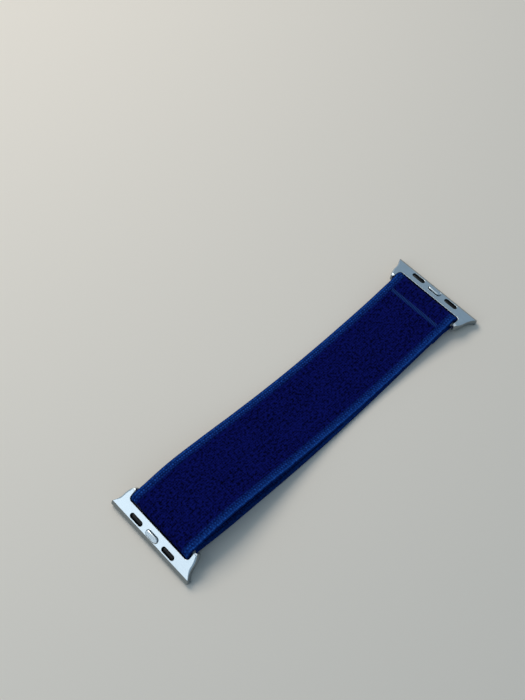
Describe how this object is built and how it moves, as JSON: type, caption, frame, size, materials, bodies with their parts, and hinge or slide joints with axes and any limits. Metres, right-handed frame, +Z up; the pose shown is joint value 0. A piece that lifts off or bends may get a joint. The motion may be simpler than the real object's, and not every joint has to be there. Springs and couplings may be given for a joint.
{
  "type": "stretch fabric watch band",
  "caption": "Watch band of one elastic strip, doubled and sewn into a flat loop between brushed steel end links with rubber pads, sprung catches and sprung bars.",
  "frame": {"origin": "middle of the band's box, on the table that it lies on", "axes": "+X along the band from the plain end to the sewn end, +Y across the band, +Z up, out of the skin side"},
  "size_m": [0.1058, 0.028, 0.007],
  "materials": {
    "strap_elastic": "woven navy elastic with lighter selvedges",
    "seam_thread": "spun polyester thread, lighter blue",
    "link_steel": "fine brushed and tumbled stainless",
    "bar_steel": "turned stainless",
    "spring_steel": "drawn spring wire",
    "pad_rubber": "matt black moulded rubber"
  },
  "bodies": {
    "strap": {"elastic_strap": "strap_elastic", "seam_thread": "seam_thread"},
    "plain_end_link": {"plain_end_link_body": "link_steel", "plain_end_cover_plate": "link_steel", "plain_end_bar_barrel": "bar_steel", "plain_end_bar_spring": "spring_steel", "plain_end_pad_left": "pad_rubber", "plain_end_catch_spring_left": "spring_steel", "plain_end_pad_right": "pad_rubber", "plain_end_catch_spring_right": "spring_steel"},
    "plain_end_catch": {"plain_end_catch": "link_steel"},
    "plain_end_bar_tip_left": {"plain_end_bar_tip_left": "bar_steel"},
    "plain_end_bar_tip_right": {"plain_end_bar_tip_right": "bar_steel"},
    "seam_end_link": {"seam_end_link_body": "link_steel", "seam_end_cover_plate": "link_steel", "seam_end_bar_barrel": "bar_steel", "seam_end_bar_spring": "spring_steel", "seam_end_pad_left": "pad_rubber", "seam_end_catch_spring_left": "spring_steel", "seam_end_pad_right": "pad_rubber", "seam_end_catch_spring_right": "spring_steel"},
    "seam_end_catch": {"seam_end_catch": "link_steel"},
    "seam_end_bar_tip_left": {"seam_end_bar_tip_left": "bar_steel"},
    "seam_end_bar_tip_right": {"seam_end_bar_tip_right": "bar_steel"}
  },
  "joints": [
    {"name": "plain_end_hinge", "type": "hinge", "parent": "strap", "child": "plain_end_link", "pos_m": [-0.04705, 0, 0.00418], "axis": [0, 1, 0], "range_deg": [-38, 95]},
    {"name": "plain_end_catch_press", "type": "slide", "parent": "plain_end_link", "child": "plain_end_catch", "axis": [0.527, 0, -0.8499], "range_m": [0, 0.0005], "stiffness_N_per_m": 300, "springref_m": -0.001, "deforming": ["plain_end_catch_spring_left", "plain_end_catch_spring_right"]},
    {"name": "plain_end_bar_tip_left_slide", "type": "slide", "parent": "plain_end_link", "child": "plain_end_bar_tip_left", "axis": [0, 1, 0], "range_m": [0, 0.0009], "stiffness_N_per_m": 200, "springref_m": -0.002, "deforming": ["plain_end_bar_spring"]},
    {"name": "plain_end_bar_tip_right_slide", "type": "slide", "parent": "plain_end_link", "child": "plain_end_bar_tip_right", "axis": [0, -1, 0], "range_m": [0, 0.0009], "stiffness_N_per_m": 200, "springref_m": -0.002, "deforming": ["plain_end_bar_spring"]},
    {"name": "seam_end_hinge", "type": "hinge", "parent": "strap", "child": "seam_end_link", "pos_m": [0.04625, 0, 0.00249], "axis": [0, -1, 0], "range_deg": [-45, 80]},
    {"name": "seam_end_catch_press", "type": "slide", "parent": "seam_end_link", "child": "seam_end_catch", "axis": [-0.2198, 0, -0.9755], "range_m": [0, 0.0005], "stiffness_N_per_m": 300, "springref_m": -0.001, "deforming": ["seam_end_catch_spring_left", "seam_end_catch_spring_right"]},
    {"name": "seam_end_bar_tip_left_slide", "type": "slide", "parent": "seam_end_link", "child": "seam_end_bar_tip_left", "axis": [0, -1, 0], "range_m": [0, 0.0009], "stiffness_N_per_m": 200, "springref_m": -0.002, "deforming": ["seam_end_bar_spring"]},
    {"name": "seam_end_bar_tip_right_slide", "type": "slide", "parent": "seam_end_link", "child": "seam_end_bar_tip_right", "axis": [0, 1, 0], "range_m": [0, 0.0009], "stiffness_N_per_m": 200, "springref_m": -0.002, "deforming": ["seam_end_bar_spring"]}
  ]
}
